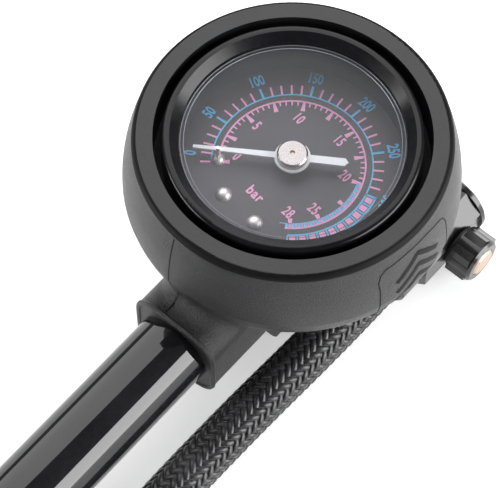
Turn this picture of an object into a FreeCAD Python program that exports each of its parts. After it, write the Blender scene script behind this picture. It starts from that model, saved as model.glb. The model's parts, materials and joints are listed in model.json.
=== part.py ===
"""High-pressure shock pump with a dial gauge, lying on its back.

+Z is the dial's normal and +Y is the pump's axis, away from the handle.
"""

import FreeCAD, Part

import math
import os

import Sketcher
from FreeCAD import Placement, Rotation, Vector

# Driving dimensions in millimetres (angles in degrees). Z = 0 is the plane the pump lies on.
DIMENSIONS = {
    # pump axis
    "axis_height": 13.5,
    "barrel_radius": 7.25,
    "barrel_bore": 6.25,
    "barrel_head": -12.0,
    "barrel_end": -176.0,
    "rod_radius": 4.0,
    "rod_end": -178.2,
    "stub_radius": 2.0,
    "piston_back": -35.0,
    "piston_front": -29.0,
    "running_gap": 0.05,
    # handle
    "handle_mouth": -86.0,
    "handle_wall": -178.6,
    "handle_end": -186.2,
    "handle_tip": -195.0,
    "core_bore": 7.9,
    "core_radius": 9.8,
    "grip_radius": 13.5,
    # boot
    "boot_floor": 19.3,
    "boot_waist": 33.0,
    "boot_radius": 30.1,
    "boot_shoulder": 45.8,
    "boot_neck": 28.0,
    "flange_radius": 27.4,
    "flange_top": 46.9,
    "gap_radius": 24.3,
    "gap_floor": 39.5,
    "collar_end": -32.0,
    "collar_half": 9.0,
    "collar_corner": 5.0,
    "saddle_blend": 3.0,
    "spine_half": 9.0,
    "spine_back": -14.0,
    "spine_front": 29.0,
    "spine_round": 1.8,
    # manifold
    "block_half": 7.25,
    "block_low": 2.5,
    "block_top": 20.5,
    "block_front": 27.4,
    "stem_boss": 5.5,
    "port_y": 20.5,
    "port_z": 7.1,
    "port_boss": 4.8,
    "port_face": 10.2,
    # gauge
    "case_radius": 22.2,
    "case_wall": 1.0,
    "case_floor": 25.5,
    "case_top": 44.2,
    "bezel_radius": 22.9,
    "bezel_top": 47.0,
    "bezel_opening": 19.85,
    "lens_low": 43.5,
    "lens_top": 44.9,
    "dial_top": 37.0,
    "dial_plate": 0.7,
    "dial_radius": 21.1,
    "rivet_circle": 13.6,
    "rivet_left": 248.0,
    "rivet_right": 281.5,
    "pin_circle": 13.1,
    "pin_angle": 216.8,
    "pin_radius": 0.32,
    "pointer_angle": 213.6,
    "pointer_low": 39.2,
    "pointer_thick": 0.4,
    "pointer_tip": 17.6,
    "pointer_tail": 9.9,
    "back_plate_low": 29.0,
    "front_plate_low": 33.6,
    "plate_thick": 0.7,
    "gear_low": 31.2,
    "gear_thick": 1.0,
    "gear_module": 0.2,
    "pinion_teeth": 12.0,
    "sector_teeth": 72.0,
    "bourdon_circle": 17.2,
    # banjo, hose and chuck
    "banjo_x": 17.5,
    "banjo_back": 11.0,
    "banjo_front": 27.0,
    "banjo_radius": 6.3,
    "cap_radius": 6.95,
    "cap_front": 28.3,
    "bolt_radius": 2.5,
    "bolt_head_back": 24.5,
    "bolt_head_hex": 28.9,
    "bolt_head_radius": 4.5,
    "bolt_tip": 29.7,
    "button_radius": 2.8,
    "button_face": 30.0,
    "hose_radius": 4.5,
    "hose_start": 5.0,
    "chuck_x": 21.4,
    "chuck_z": 7.3,
    "hose_end": -164.0,
    "chuck_start": -171.5,
    "chuck_radius": 7.0,
    "chuck_mouth": -195.5,
    "valve_thread": 3.85,
}


class Size:
    """A number together with the spreadsheet expression that gives it."""

    def __init__(self, value, text):
        self.value = float(value)
        self.text = text

    def _with(self, other, sign, value):
        text = other.text if isinstance(other, Size) else repr(other)
        return Size(value, "(%s %s %s)" % (self.text, sign, text))

    def __add__(self, other):
        return self._with(other, "+", self.value + number(other))

    def __sub__(self, other):
        return self._with(other, "-", self.value - number(other))

    def __mul__(self, other):
        return self._with(other, "*", self.value * number(other))

    def __truediv__(self, other):
        return self._with(other, "/", self.value / number(other))

    def __neg__(self):
        return Size(-self.value, "(-1 * %s)" % self.text)


def number(item):
    return item.value if isinstance(item, Size) else float(item)


doc = FreeCAD.newDocument("shock_pump")
sheet = doc.addObject("Spreadsheet::Sheet", "Dimensions")
for row, (alias, amount) in enumerate(DIMENSIONS.items(), start=1):
    sheet.set("A%d" % row, alias)
    sheet.set("B%d" % row, repr(amount))
    sheet.setAlias("B%d" % row, alias)
doc.recompute()

S = {alias: Size(sheet.get(alias), "Dimensions.%s" % alias) for alias in DIMENSIONS}
sub_parts = []


# ---------------------------------------------------------------- helpers

def bind(target, path, item):
    """Bind one property of an object to the sheet, or set it when it is a plain number."""
    if isinstance(item, Size):
        target.setExpression(path, item.text)
    elif path.startswith("Placement.Base.") or path.startswith("AttachmentOffset.Base."):
        target.setExpression(path, repr(float(item)))
    else:
        setattr(target, path, item)


def new_body(label, base=(0, 0, 0)):
    body = doc.addObject("PartDesign::Body", label)
    body.Label = label
    for axis, item in zip("xyz", base):
        bind(body, "Placement.Base." + axis, item)
    sub_parts.append(body)
    return body


def new_sketch(body, plane, name, offset=0):
    sketch = body.newObject("Sketcher::SketchObject", name)
    origin = [feature for feature in body.Origin.OriginFeatures if feature.Role == plane][0]
    sketch.AttachmentSupport = [(origin, "")]
    sketch.MapMode = "FlatFace"
    if number(offset):
        bind(sketch, "AttachmentOffset.Base.z", -offset if plane == "XZ_Plane" else offset)
    return sketch


def fix_point(sketch, edge, end, x_item, y_item):
    """Dimension one vertex of a sketch from the sketch's origin."""
    for item, kind, axis in ((x_item, "DistanceX", -2), (y_item, "DistanceY", -1)):
        if abs(number(item)) < 1e-9:
            sketch.addConstraint(Sketcher.Constraint("PointOnObject", edge, end, axis))
            continue
        index = sketch.addConstraint(Sketcher.Constraint(kind, -1, 1, edge, end, number(item)))
        if isinstance(item, Size):
            sketch.setExpression("Constraints[%d]" % index, item.text)


def arc_between(first, second, radius):
    """Arc of a circle between two points; a positive radius turns left on the way, a negative one right."""
    chord = second - first
    half = chord.Length / 2
    rise = math.sqrt(max(radius * radius - half * half, 0.0))
    left = Vector(-chord.y, chord.x, 0).normalize()
    centre = (first + second) * 0.5 + left * (rise if radius > 0 else -rise)
    start, stop = (first, second) if radius > 0 else (second, first)
    angles = [math.atan2(point.y - centre.y, point.x - centre.x) for point in (start, stop)]
    return Part.ArcOfCircle(Part.Circle(centre, Vector(0, 0, 1), abs(radius)), *angles)


def outline(sketch, points):
    """Closed outline through (x, y) points; (x, y, radius) starts an arc to the next point."""
    places = [Vector(number(point[0]), number(point[1]), 0) for point in points]
    ends = []
    for index, point in enumerate(points):
        here, there = places[index], places[(index + 1) % len(points)]
        if len(point) == 3:
            radius = number(point[2])
            edge = sketch.addGeometry(arc_between(here, there, radius), False)
            ends.append((edge, 1, 2) if radius > 0 else (edge, 2, 1))
        else:
            ends.append((sketch.addGeometry(Part.LineSegment(here, there), False), 1, 2))
    for index, (edge, start, _) in enumerate(ends):
        before, _, stop = ends[index - 1]
        sketch.addConstraint(Sketcher.Constraint("Coincident", before, stop, edge, start))
    for index, (edge, start, _) in enumerate(ends):
        fix_point(sketch, edge, start, points[index][0], points[index][1])
        if len(points[index]) == 3:
            radius = points[index][2]
            dimension = sketch.addConstraint(Sketcher.Constraint("Radius", edge, abs(number(radius))))
            if isinstance(radius, Size):
                text = radius.text if number(radius) > 0 else "-1 * " + radius.text
                sketch.setExpression("Constraints[%d]" % dimension, text)


def ring(sketch, x_item, y_item, radius):
    """Circle in a sketch, dimensioned from the sketch's origin."""
    circle = Part.Circle(Vector(number(x_item), number(y_item), 0), Vector(0, 0, 1), number(radius))
    edge = sketch.addGeometry(circle, False)
    fix_point(sketch, edge, 3, x_item, y_item)
    index = sketch.addConstraint(Sketcher.Constraint("Radius", edge, number(radius)))
    if isinstance(radius, Size):
        sketch.setExpression("Constraints[%d]" % index, radius.text)


AXES = {"Z": ("XZ_Plane", "V_Axis"), "Y": ("YZ_Plane", "H_Axis"), "X": ("XZ_Plane", "H_Axis")}


def turn(body, kind, axis, points, angle=360.0):
    """Revolve (PartDesign::Revolution) or cut (PartDesign::Groove) a profile about a body axis.

    Profiles about Z are (radius, z); profiles about Y or X are (distance along the axis, radius).
    """
    plane, line = AXES[axis]
    sketch = new_sketch(body, plane, body.Label + "_profile")
    outline(sketch, points)
    feature = body.newObject(kind, body.Label + "_turned")
    feature.Profile = sketch
    feature.ReferenceAxis = (sketch, [line])
    feature.Angle = angle
    return feature


def lathe(label, axis, points, base=(0, 0, 0), angle=360.0):
    body = new_body(label, base)
    turn(body, "PartDesign::Revolution", axis, points, angle)
    return body


def along(body, kind, plane, start, length, draw):
    """Pad or pocket of a sketch from a start plane towards the plane's positive axis."""
    sketch = new_sketch(body, plane, body.Label + "_section", start)
    draw(sketch)
    feature = body.newObject(kind, body.Label + "_run")
    feature.Profile = sketch
    bind(feature, "Length", length)
    forward = kind == "PartDesign::Pad"
    feature.Reversed = (plane == "XZ_Plane") == forward
    return feature


def pad(body, plane, start, length, draw):
    return along(body, "PartDesign::Pad", plane, start, length, draw)


def pocket(body, plane, start, length, draw):
    return along(body, "PartDesign::Pocket", plane, start, length, draw)


def rounded_box(half, low, top, corner):
    """Outline of a rectangle from -half to half, from low to top, with rounded corners."""
    def draw(sketch):
        outline(sketch, [
            (-half + corner, low), (half - corner, low, corner), (half, low + corner),
            (half, top - corner, corner), (half - corner, top), (-half + corner, top, corner),
            (-half, top - corner), (-half, low + corner, corner),
        ])
    return draw


def hexagon(radius, x_item=0.0, y_item=0.0, turned=0.0):
    def draw(sketch):
        corners = []
        for step in range(6):
            angle = math.radians(60 * step + turned)
            corners.append((radius * math.cos(angle) + x_item, radius * math.sin(angle) + y_item))
        outline(sketch, corners)
    return draw


def shaped(label, shape, base=(0, 0, 0), rotation=None):
    """Sub-part whose shape comes from Part's own functions."""
    item = doc.addObject("Part::Feature", label)
    item.Label = label
    item.Shape = shape
    item.Placement = Placement(Vector(*[number(value) for value in base]), rotation or Rotation())
    sub_parts.append(item)
    return item


def primitive(kind, name, base=(0, 0, 0), rotation=None, **sizes):
    """Part primitive with bound sizes and place, used alone or in a boolean."""
    item = doc.addObject(kind, name)
    item.Placement = Placement(Vector(), rotation or Rotation())
    for key, size in sizes.items():
        bind(item, key, size)
    for axis, value in zip("xyz", base):
        bind(item, "Placement.Base." + axis, value)
    return item


def join(kind, label, first, second):
    """Boolean sub-part of two primitives: Part::Fuse or Part::Cut."""
    item = doc.addObject(kind, label)
    item.Label = label
    item.Base = first
    item.Tool = second
    return item


def keep(item, label):
    item.Label = label
    sub_parts.append(item)
    return item


def polar(radius, degrees):
    """Point on a circle about the dial's centre, as sheet expressions."""
    angle = degrees.text if isinstance(degrees, Size) else repr(degrees)
    turned = math.radians(number(degrees))
    radius = radius if isinstance(radius, Size) else Size(radius, repr(radius))
    return (
        Size(radius.value * math.cos(turned), "(%s * cos(%s * 1deg))" % (radius.text, angle)),
        Size(radius.value * math.sin(turned), "(%s * sin(%s * 1deg))" % (radius.text, angle)),
    )


# ---------------------------------------------------------------- boot

PUMP_AXIS = (0, 0, S["axis_height"])

boot = lathe("gauge_boot", "Z", [
    (0, S["boot_floor"]),
    (16.0, S["boot_floor"], 15.5),
    (S["boot_radius"], S["boot_waist"], 42.0),
    (S["boot_neck"], S["boot_shoulder"]),
    (S["flange_radius"], S["boot_shoulder"] + 0.2),
    (S["flange_radius"], S["flange_top"] - 0.4, 0.4),
    (S["flange_radius"] - 0.4, S["flange_top"]),
    (0, S["flange_top"]),
])
pad(boot, "XZ_Plane", S["collar_end"], -S["collar_end"] + 14.0,
    rounded_box(S["collar_half"], S["axis_height"] - S["collar_half"],
                S["axis_height"] + S["collar_half"], S["collar_corner"]))
doc.recompute()


def on_saddle(edge):
    """Edges where the collar runs up into the bulb."""
    box = edge.BoundBox
    middle = edge.valueAt((edge.FirstParameter + edge.LastParameter) / 2)
    curved = type(edge.Curve).__name__ == "BSplineCurve"
    return curved and box.ZMin > sheet.get("boot_floor") - 0.1 and box.YMax < 15.0 and abs(middle.x) < 9.01


saddle = boot.newObject("PartDesign::Fillet", "saddle_blend")
joined = boot.Group[-2]
saddle_edges = ["Edge%d" % index for index, edge in enumerate(joined.Shape.Edges, start=1) if on_saddle(edge)]
saddle.Base = (joined, saddle_edges)
bind(saddle, "Radius", S["saddle_blend"])
pad(boot, "XZ_Plane", S["spine_back"], S["spine_front"] - S["spine_back"],
    rounded_box(S["spine_half"], Size(0, "0"), S["boot_floor"] + 6.0, Size(2.0, "2")))
doc.recompute()
spine_end = boot.newObject("PartDesign::Fillet", "spine_end_round")
backed = boot.Group[-2]
end_edges = ["Edge%d" % index for index, edge in enumerate(backed.Shape.Edges, start=1)
             if edge.BoundBox.YMin > sheet.get("spine_front") - 0.01]
spine_end.Base = (backed, end_edges)
bind(spine_end, "Radius", S["spine_round"])
pocket(boot, "XY_Plane", S["case_floor"], S["gap_floor"] - S["case_floor"] + 0.5,
       lambda sketch: ring(sketch, 0, 0, S["case_radius"]))
pocket(boot, "XY_Plane", S["gap_floor"], S["flange_top"] - S["gap_floor"] + 1.0,
       lambda sketch: ring(sketch, 0, 0, S["gap_radius"]))
pocket(boot, "XZ_Plane", S["collar_end"] - 1.0, S["barrel_head"] - S["collar_end"] + 1.0,
       lambda sketch: ring(sketch, 0, S["axis_height"], S["barrel_radius"]))
pocket(boot, "XZ_Plane", S["barrel_head"], S["block_front"] - S["barrel_head"],
       lambda sketch: outline(sketch, [
           (-S["block_half"], S["block_low"]), (S["block_half"], S["block_low"]),
           (S["block_half"], S["block_top"]), (-S["block_half"], S["block_top"]),
       ]))
pocket(boot, "XY_Plane", S["block_top"] - 1.0, S["case_floor"] - S["block_top"] + 1.0,
       lambda sketch: ring(sketch, 0, 0, S["stem_boss"]))
pocket(boot, "YZ_Plane", S["block_half"] - 1.0, 4.0,
       lambda sketch: ring(sketch, S["port_y"], S["port_z"], S["port_boss"]))

# ---------------------------------------------------------------- manifold and barrel

manifold = new_body("manifold", PUMP_AXIS)
pad(manifold, "XZ_Plane", S["barrel_head"], S["block_front"] - S["barrel_head"],
    lambda sketch: outline(sketch, [
        (-S["block_half"], S["block_low"] - S["axis_height"]),
        (S["block_half"], S["block_low"] - S["axis_height"]),
        (S["block_half"], S["block_top"] - S["axis_height"]),
        (-S["block_half"], S["block_top"] - S["axis_height"]),
    ]))
turn(manifold, "PartDesign::Revolution", "Y", [
    (S["barrel_head"] - 10.0, 0), (S["barrel_head"] + 1.0, 0), (S["barrel_head"] + 1.0, S["barrel_bore"]),
    (S["barrel_head"] - 5.5, S["barrel_bore"]), (S["barrel_head"] - 5.5, S["barrel_bore"] - 1.3),
    (S["barrel_head"] - 7.5, S["barrel_bore"] - 1.3), (S["barrel_head"] - 7.5, S["barrel_bore"]),
    (S["barrel_head"] - 9.5, S["barrel_bore"]), (S["barrel_head"] - 10.0, S["barrel_bore"] - 0.5),
])
pad(manifold, "XY_Plane", S["block_top"] - S["axis_height"] - 1.0, S["case_floor"] - S["block_top"] + 1.0,
    lambda sketch: ring(sketch, 0, 0, S["stem_boss"]))
pad(manifold, "YZ_Plane", S["block_half"] - 1.0, S["port_face"] - S["block_half"] + 1.0,
    lambda sketch: ring(sketch, S["port_y"], S["port_z"] - S["axis_height"], S["port_boss"]))
turn(manifold, "PartDesign::Groove", "Y", [
    (S["barrel_head"] - 10.1, 0), (S["port_y"], 0), (S["port_y"], 1.2), (S["barrel_head"] + 2.0, 1.2),
    (S["barrel_head"] + 2.0, 3.0), (S["barrel_head"] - 10.1, 3.0),
])
pocket(manifold, "XY_Plane", Size(-1.0, "-1"), S["case_floor"] - S["axis_height"] + 1.1,
       lambda sketch: ring(sketch, 0, 0, 1.2))
pocket(manifold, "XY_Plane", S["case_floor"] - S["axis_height"] - 4.5, 4.6,
       lambda sketch: ring(sketch, 0, 0, 3.0))
pocket(manifold, "YZ_Plane", Size(1.0, "1"), S["port_face"],
       lambda sketch: ring(sketch, S["port_y"], S["port_z"] - S["axis_height"], S["bolt_radius"]))
pocket(manifold, "XY_Plane", S["port_z"] - S["axis_height"], S["axis_height"] - S["port_z"],
       lambda sketch: ring(sketch, 2.0, S["port_y"] - 0.5, 0.8))

lathe("barrel_tube", "Y", [
    (S["barrel_end"], S["barrel_bore"]), (S["barrel_head"], S["barrel_bore"]),
    (S["barrel_head"], S["barrel_radius"]), (S["barrel_end"] + 0.5, S["barrel_radius"]),
    (S["barrel_end"], S["barrel_radius"] - 0.5),
], PUMP_AXIS)
lathe("plug_seal", "Y", [
    (S["barrel_head"] - 7.4, S["barrel_bore"] - 1.3), (S["barrel_head"] - 5.6, S["barrel_bore"] - 1.3),
    (S["barrel_head"] - 5.6, S["barrel_bore"] - 0.5, 0.5), (S["barrel_head"] - 6.1, S["barrel_bore"]),
    (S["barrel_head"] - 6.9, S["barrel_bore"], 0.5), (S["barrel_head"] - 7.4, S["barrel_bore"] - 0.5),
], PUMP_AXIS)
lathe("barrel_bush", "Y", [
    (S["barrel_end"] - 1.6, S["rod_radius"] + 0.07), (S["barrel_end"] + 2.0, S["rod_radius"] + 0.07),
    (S["barrel_end"] + 2.0, 5.3), (S["barrel_end"] + 4.0, 5.3),
    (S["barrel_end"] + 4.0, S["rod_radius"] + 0.07), (S["barrel_end"] + 8.0, S["rod_radius"] + 0.07),
    (S["barrel_end"] + 8.0, S["barrel_bore"] - 0.4), (S["barrel_end"] + 7.6, S["barrel_bore"]),
    (S["barrel_end"], S["barrel_bore"]), (S["barrel_end"], S["barrel_radius"] - 0.5),
    (S["barrel_end"] - 1.2, S["barrel_radius"] - 0.5), (S["barrel_end"] - 1.6, S["barrel_radius"] - 0.9),
], PUMP_AXIS)
lathe("rod_seal", "Y", [
    (S["barrel_end"] + 2.1, S["rod_radius"] + 0.3), (S["barrel_end"] + 2.4, S["rod_radius"] + 0.03),
    (S["barrel_end"] + 3.6, S["rod_radius"] + 0.03), (S["barrel_end"] + 3.9, S["rod_radius"] + 0.3),
    (S["barrel_end"] + 3.9, 5.3), (S["barrel_end"] + 2.1, 5.3),
], PUMP_AXIS)

# ---------------------------------------------------------------- check valve in the manifold's stub

STUB = S["barrel_head"]
lathe("valve_seat", "Y", [
    (STUB - 10.0, 1.3), (STUB - 8.8, 1.3), (STUB - 8.2, 1.9), (STUB - 8.2, 3.0), (STUB - 10.0, 3.0),
], PUMP_AXIS)
lathe("check_poppet", "Y", [
    (STUB - 8.7, 0), (STUB + 0.6, 0), (STUB + 0.6, 0.9), (STUB - 6.4, 0.9), (STUB - 6.4, 2.7),
    (STUB - 7.6, 2.7), (STUB - 8.0, 1.9), (STUB - 8.7, 1.2),
], PUMP_AXIS)


def coil(label, wire, radius, pitch, length, base, rotation):
    """Compression spring along its own Z axis, from the base point."""
    path = Part.makeHelix(pitch, length - 2 * wire, radius)
    section = Part.Wire(Part.makeCircle(wire, Vector(radius, 0, 0), Vector(0, 1, 0)))
    shape = Part.Wire(path.Edges).makePipeShell([section], True, True)
    shape.translate(Vector(0, 0, wire))
    return shaped(label, shape, base, rotation)


ABOUT_Y = Rotation(Vector(1, 0, 0), -90)
ABOUT_X = Rotation(Vector(0, 1, 0), 90)
coil("check_spring", 0.25, 2.0, 1.35, number(STUB + 2.0) - number(STUB - 6.4) - 0.6,
     (0, STUB - 6.1, S["axis_height"]), ABOUT_Y)

# ---------------------------------------------------------------- piston, rod and handle

ROD = S["rod_radius"]
lathe("piston_rod", "Y", [
    (S["handle_end"], 0), (S["piston_front"] + 3.4, 0), (S["piston_front"] + 3.4, S["stub_radius"] - 0.3),
    (S["piston_front"] + 3.1, S["stub_radius"]), (S["piston_back"], S["stub_radius"]),
    (S["piston_back"], ROD),
    (S["rod_end"], ROD), (S["rod_end"], 2.6), (S["handle_end"], 2.6),
], PUMP_AXIS)
lathe("piston", "Y", [
    (S["piston_back"], S["stub_radius"]), (S["piston_front"], S["stub_radius"]),
    (S["piston_front"], S["barrel_bore"] - 0.4),
    (S["piston_front"] - 0.3, S["barrel_bore"] - S["running_gap"]),
    (S["piston_front"] - 1.8, S["barrel_bore"] - S["running_gap"]), (S["piston_front"] - 1.8, 4.6),
    (S["piston_back"] + 1.8, 4.6), (S["piston_back"] + 1.8, S["barrel_bore"] - S["running_gap"]),
    (S["piston_back"] + 0.3, S["barrel_bore"] - S["running_gap"]), (S["piston_back"], S["barrel_bore"] - 0.4),
], PUMP_AXIS)
lathe("piston_ring", "Y", [
    (S["piston_back"] + 1.9, 4.6), (S["piston_front"] - 1.9, 4.6), (S["piston_front"] - 1.9, 5.7),
    (S["piston_front"] - 2.4, S["barrel_bore"] - 0.02), (S["piston_back"] + 2.4, S["barrel_bore"] - 0.02),
    (S["piston_back"] + 1.9, 5.7),
], PUMP_AXIS)
nut = new_body("rod_nut", PUMP_AXIS)
pad(nut, "XZ_Plane", S["piston_front"], Size(2.4, "2.4"), hexagon(Size(3.7, "3.7")))
pocket(nut, "XZ_Plane", S["piston_front"] - 1.0, Size(5.0, "5"),
       lambda sketch: ring(sketch, 0, 0, S["stub_radius"]))

lathe("handle_core", "Y", [
    (S["handle_end"], 2.68), (S["handle_wall"], 2.68), (S["handle_wall"], S["core_bore"]),
    (S["handle_mouth"] + 1.0, S["core_bore"]), (S["handle_mouth"] + 1.0, S["core_radius"]),
    (S["handle_end"], S["core_radius"]),
], PUMP_AXIS)
lathe("handle_grip", "Y", [
    (S["handle_end"], S["core_radius"]), (S["handle_mouth"], S["core_radius"]),
    (S["handle_mouth"], S["grip_radius"] - 2.4, 2.4), (S["handle_mouth"] - 2.4, S["grip_radius"]),
    (S["handle_mouth"] - 8.0, S["grip_radius"]), (S["handle_mouth"] - 10.0, S["grip_radius"] - 1.0),
    (S["handle_mouth"] - 86.0, S["grip_radius"] - 1.0), (S["handle_mouth"] - 88.0, S["grip_radius"]),
    (S["handle_end"], S["grip_radius"]),
], PUMP_AXIS)
lathe("handle_cap", "Y", [
    (S["handle_tip"], 0), (S["handle_tip"] + 1.6, 0), (S["handle_tip"] + 1.6, 6.2), (S["handle_end"], 6.2),
    (S["handle_end"], S["grip_radius"]), (S["handle_end"] - 4.4, S["grip_radius"], 6.0),
    (S["handle_tip"], S["grip_radius"] - 5.0),
], PUMP_AXIS)
screw = lathe("handle_screw", "Y", [
    (S["handle_end"] - 3.6, 0), (S["handle_end"], 0), (S["handle_end"], 2.6),
    (S["handle_end"] - 0.3, 2.6), (S["handle_end"] - 0.3, 5.6), (S["handle_end"] - 0.9, 5.6),
    (S["handle_end"] - 0.9, 4.4), (S["handle_end"] - 3.2, 4.4), (S["handle_end"] - 3.6, 4.0),
], PUMP_AXIS)
pocket(screw, "XZ_Plane", S["handle_end"] - 3.7, 1.9, hexagon(Size(2.3, "2.3")))

# ---------------------------------------------------------------- gauge

CASE = S["case_radius"]
INSIDE = S["case_radius"] - S["case_wall"]
lathe("gauge_case", "Z", [
    (3.05, S["case_floor"]), (CASE, S["case_floor"]), (CASE, S["case_top"]), (INSIDE, S["case_top"]),
    (INSIDE, S["case_floor"] + 1.0), (3.05, S["case_floor"] + 1.0),
])
lathe("gauge_bezel", "Z", [
    (CASE, S["gap_floor"] + 0.6), (S["bezel_radius"], S["gap_floor"] + 0.6),
    (S["bezel_radius"], S["bezel_top"] - 1.0, 1.0), (S["bezel_radius"] - 1.0, S["bezel_top"]),
    (S["bezel_radius"] - 1.5, S["bezel_top"]), (S["bezel_opening"], S["bezel_top"] - 1.4),
    (S["bezel_opening"], S["lens_top"]), (CASE, S["lens_top"]),
])
lathe("gauge_lens", "Z", [
    (0, S["lens_low"]), (INSIDE, S["lens_low"]), (INSIDE, S["lens_top"]), (0, S["lens_top"]),
])
lathe("lens_gasket", "Z", [
    (S["bezel_opening"] + 0.05, S["lens_low"] - 0.7), (INSIDE, S["lens_low"] - 0.7),
    (INSIDE, S["lens_low"]), (S["bezel_opening"] + 0.05, S["lens_low"]),
])
lathe("dial_ring", "Z", [
    (S["bezel_opening"] + 0.05, S["dial_top"]), (INSIDE, S["dial_top"]),
    (INSIDE, S["lens_low"] - 0.7), (S["bezel_opening"] + 0.05, S["lens_low"] - 0.7),
])
dial = lathe("dial_plate", "Z", [
    (1.2, S["dial_top"] - S["dial_plate"]), (S["dial_radius"], S["dial_top"] - S["dial_plate"]),
    (S["dial_radius"], S["dial_top"]), (1.2, S["dial_top"]),
])
RIVETS = [polar(S["rivet_circle"], S["rivet_left"]), polar(S["rivet_circle"], S["rivet_right"])]
PIN = polar(S["pin_circle"], S["pin_angle"])
for spot in RIVETS:
    pocket(dial, "XY_Plane", S["dial_top"] - 2.0, 3.0,
           lambda sketch, at=spot: ring(sketch, at[0], at[1], 0.7))
pocket(dial, "XY_Plane", S["dial_top"] - 2.0, 3.0,
       lambda sketch: ring(sketch, PIN[0], PIN[1], S["pin_radius"]))


def dome(radius, rise):
    """Spherical cap with its flat side at z = 0."""
    ball = (radius * radius + rise * rise) / (2 * rise)
    sphere = Part.makeSphere(ball, Vector(0, 0, rise - ball))
    return sphere.common(Part.makeBox(4 * radius, 4 * radius, rise + 1, Vector(-2 * radius, -2 * radius, 0)))


def rivet():
    """Domed drive screw with its shank through the dial."""
    return dome(1.5, 1.05).fuse(Part.makeCylinder(0.7, 1.6, Vector(0, 0, -1.6))).removeSplitter()


rivets = []
for spot in RIVETS:
    one = rivet()
    one.translate(Vector(number(spot[0]), number(spot[1]), sheet.get("dial_top")))
    rivets.append(one)
shaped("dial_rivets", Part.makeCompound(rivets))
stop = Part.makeCylinder(sheet.get("pin_radius"), 5.6, Vector(0, 0, -1.4))
stop = stop.fuse(dome(1.25, 1.1)).removeSplitter()
shaped("stop_pin", stop, (PIN[0], PIN[1], S["dial_top"]))

lathe("gauge_socket", "Z", [
    (0.8, S["case_floor"] - 4.4), (3.0, S["case_floor"] - 4.4), (3.0, S["case_floor"] + 1.0),
    (4.6, S["case_floor"] + 1.0), (4.6, S["back_plate_low"]), (0.8, S["back_plate_low"]),
])
lathe("gauge_seal", "Z", [
    (3.05, S["case_floor"] - 1.0), (4.6, S["case_floor"] - 1.0),
    (4.6, S["case_floor"]), (3.05, S["case_floor"]),
])
turn(manifold, "PartDesign::Groove", "Z", [
    (2.0, S["case_floor"] - S["axis_height"] - 1.0), (4.6, S["case_floor"] - S["axis_height"] - 1.0),
    (4.6, S["case_floor"] - S["axis_height"] + 0.1), (2.0, S["case_floor"] - S["axis_height"] + 0.1),
])

PINION_PITCH = S["gear_module"] * S["pinion_teeth"] / 2
SECTOR_PITCH = S["gear_module"] * S["sector_teeth"] / 2
CENTRES = PINION_PITCH + SECTOR_PITCH
SECTOR_X = -CENTRES


def movement_plate(label, low):
    """Flat plate of the movement with bearing holes for both arbors and holes for the pillars."""
    plate = new_body(label)
    pad(plate, "XY_Plane", low, S["plate_thick"], lambda sketch: outline(sketch, [
        (SECTOR_X - 3.0, -4.0), (3.4, -4.0), (3.4, 4.0), (SECTOR_X - 3.0, 4.0),
    ]))
    pocket(plate, "XY_Plane", low - 1.0, 3.0, lambda sketch: ring(sketch, 0, 0, 0.56))
    pocket(plate, "XY_Plane", low - 1.0, 3.0, lambda sketch: ring(sketch, SECTOR_X, 0, 0.66))
    return plate


movement_plate("movement_back_plate", S["back_plate_low"])
movement_plate("movement_front_plate", S["front_plate_low"])
PILLAR_RISE = S["front_plate_low"] - S["back_plate_low"] - S["plate_thick"]
pillar_top = primitive("Part::Cylinder", "pillar_upper", (2.5, 3.1, S["back_plate_low"] + S["plate_thick"]),
                       Radius=0.7, Height=PILLAR_RISE)
pillar_low = primitive("Part::Cylinder", "pillar_lower", (2.5, -3.1, S["back_plate_low"] + S["plate_thick"]),
                       Radius=0.7, Height=PILLAR_RISE)
keep(join("Part::Fuse", "pillars", pillar_top, pillar_low), "movement_pillars")


def toothed(teeth, count, pitch_radius, inner, first_angle):
    """Closed outline of a run of shallow trapezoid teeth, closed over its hub side by the inner points."""
    step = 360.0 / teeth
    depth = 0.14
    points = []
    for tooth in range(count):
        middle = first_angle + tooth * step
        for offset, height in ((-0.27, -depth), (-0.14, depth), (0.14, depth), (0.27, -depth)):
            angle = math.radians(middle + offset * step)
            points.append(Vector((pitch_radius + height) * math.cos(angle),
                                 (pitch_radius + height) * math.sin(angle), 0))
    points += inner
    points.append(points[0])
    return Part.Face(Part.makePolygon(points))


GEAR_RISE = sheet.get("gear_thick")
pinion_face = toothed(number(S["pinion_teeth"]), 12, number(PINION_PITCH), [], 180.0)
pinion = pinion_face.extrude(Vector(0, 0, GEAR_RISE))
pinion.translate(Vector(0, 0, sheet.get("gear_low")))
arbor_low = sheet.get("back_plate_low") + 0.1
arbor_top = sheet.get("pointer_low") + 1.3
arbor = Part.makeCylinder(0.5, arbor_top - arbor_low, Vector(0, 0, arbor_low))
shaped("pinion_arbor", pinion.fuse(arbor).removeSplitter())

HALF_STEP = 360.0 / number(S["sector_teeth"]) / 2
SECTOR_START = -21 * HALF_STEP
LINK_REACH = 3.0
LINK_ANGLE = math.radians(158.0)
link_pin = Vector(LINK_REACH * math.cos(LINK_ANGLE), LINK_REACH * math.sin(LINK_ANGLE), 0)
arm = [Vector(1.2, 1.5, 0), Vector(-2.6, 1.9, 0), Vector(-3.5, 1.5, 0), Vector(-3.3, 0.5, 0),
       Vector(-1.6, -0.9, 0), Vector(0.0, -1.9, 0)]
sector_face = toothed(number(S["sector_teeth"]), 14, number(SECTOR_PITCH), arm, SECTOR_START)
sector = sector_face.extrude(Vector(0, 0, GEAR_RISE))
sector = sector.fuse(Part.makeCylinder(0.35, GEAR_RISE + 0.9, link_pin))
sector = sector.cut(Part.makeCylinder(0.6, 4, Vector(0, 0, -1)))
shaped("sector_gear", sector, (SECTOR_X, 0, S["gear_low"]))
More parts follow.
